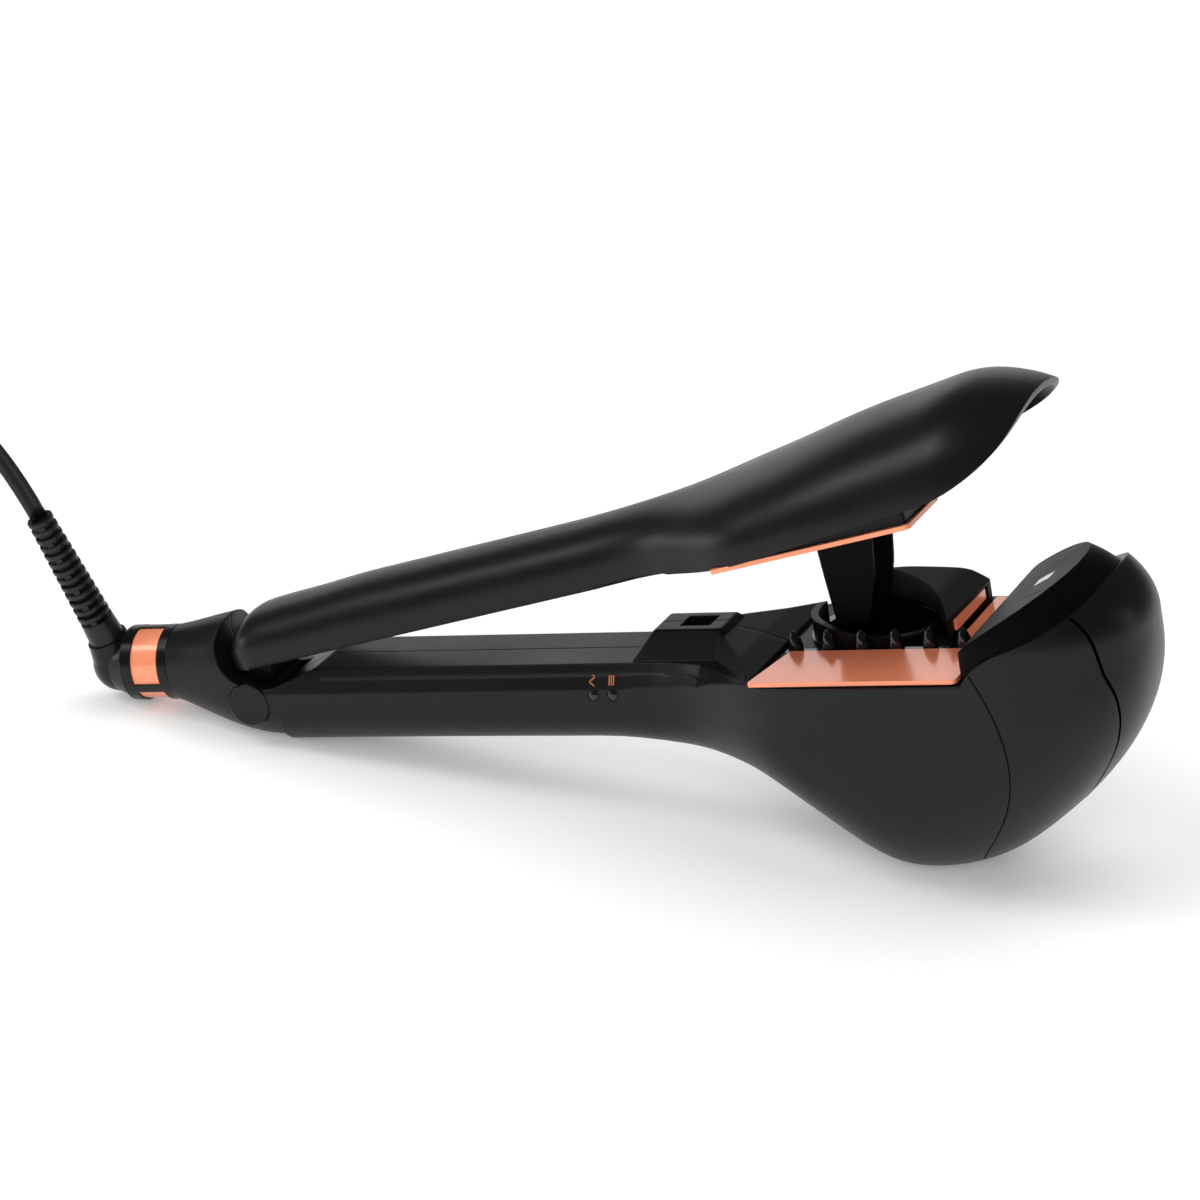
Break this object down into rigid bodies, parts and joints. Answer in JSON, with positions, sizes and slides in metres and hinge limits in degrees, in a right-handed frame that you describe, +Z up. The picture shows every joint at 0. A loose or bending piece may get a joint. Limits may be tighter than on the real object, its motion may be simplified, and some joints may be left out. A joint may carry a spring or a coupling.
{
  "type": "hair curling styler",
  "caption": "Hand held hair styler: hinged upper arm with post and spoon end over a bulb head with curl chamber, comb and straightening plates, swivel cord",
  "frame": {"origin": "centre of the tool's box, on the surface it lies on, free cord left out", "axes": "+X from the cord end to the nose, +Y across the tool to the side with the mode slider, +Z up"},
  "size_m": [0.4539, 0.0924, 0.1324],
  "materials": {
    "soft_touch_black": "soft touch, fine matt",
    "satin_black": "satin moulding",
    "dark_plastic": "matt, heat resistant",
    "gloss_black": "gloss, heat resistant",
    "copper": "rose copper ceramic coating, satin",
    "steel": "machined",
    "gear_plastic": "natural acetal",
    "heater": "insulated heater foil",
    "board_green": "glass fibre board",
    "lens_white": "milky light guide",
    "lamp_dark": "smoked lamp lens",
    "cord_rubber": "matt",
    "tie_rubber": "matt",
    "plug_plastic": "moulded",
    "blade_brass": "plated"
  },
  "bodies": {
    "lower_arm": {"chamber_cup": "gloss_black", "chamber_wall": "dark_plastic", "comb": "gloss_black", "control_board": "board_green", "copper_band": "copper", "curl_guard": "satin_black", "curl_motor": "steel", "exit_plate": "copper", "front_cover": "soft_touch_black", "guard_plate": "copper", "head_deck": "dark_plastic", "hinge_caps": "satin_black", "hinge_pin": "steel", "hinge_spring": "steel", "indicator_lens": "lens_white", "lower_heater": "heater", "lower_plate": "copper", "lower_shell_far": "soft_touch_black", "lower_shell_near": "soft_touch_black", "mode_lights": "lamp_dark", "motor_bracket": "dark_plastic", "nose_cap": "soft_touch_black", "nose_lip": "satin_black", "nose_shell_far": "soft_touch_black", "nose_shell_near": "soft_touch_black", "shell_screws": "steel", "swivel_collar": "satin_black"},
    "upper_arm": {"curl_post": "gloss_black", "hinge_lug": "dark_plastic", "plate_carrier": "dark_plastic", "post_heater": "heater", "upper_heater": "heater", "upper_inner_cover": "dark_plastic", "upper_plate": "copper", "upper_shell": "soft_touch_black"},
    "rotor": {"curl_rotor": "gloss_black"},
    "pinion": {"drive_pinion": "gear_plastic", "motor_shaft": "steel"},
    "mode_switch": {"mode_switch": "satin_black"},
    "cord_swivel": {"swivel_elbow": "satin_black", "strain_relief": "cord_rubber", "cord_coil": "cord_rubber", "power_cord": "cord_rubber", "cord_tail": "cord_rubber", "cord_tie": "tie_rubber", "plug_body": "plug_plastic", "plug_blades": "blade_brass"}
  },
  "joints": [
    {"name": "arm_hinge", "type": "hinge", "parent": "lower_arm", "child": "upper_arm", "pos_m": [-0.08978, 0, 0.01188], "axis": [0, 1, 0], "range_deg": [0, 11], "stiffness_Nm_per_rad": 0.4, "springref_deg": -51.57},
    {"name": "rotor_spin", "type": "hinge", "parent": "lower_arm", "child": "rotor", "pos_m": [0.08638, 0.0105, 0.01853], "axis": [-0.1977, 0, 0.9803], "continuous": true},
    {"name": "pinion_spin", "type": "hinge", "parent": "lower_arm", "child": "pinion", "pos_m": [0.1035, 0.00615, 0.02198], "axis": [-0.1977, 0, 0.9803], "continuous": true},
    {"name": "mode_slide", "type": "slide", "parent": "lower_arm", "child": "mode_switch", "axis": [0.9803, 0, 0.1977], "range_m": [-0.0035, 0.0035]},
    {"name": "cord_turn", "type": "hinge", "parent": "lower_arm", "child": "cord_swivel", "pos_m": [-0.11673, 0, 0.014], "axis": [0.9803, 0, 0.1977], "continuous": true}
  ],
  "couplings": [
    {"joint": "pinion_spin", "follows": "rotor_spin", "ratio": -2.6}
  ]
}
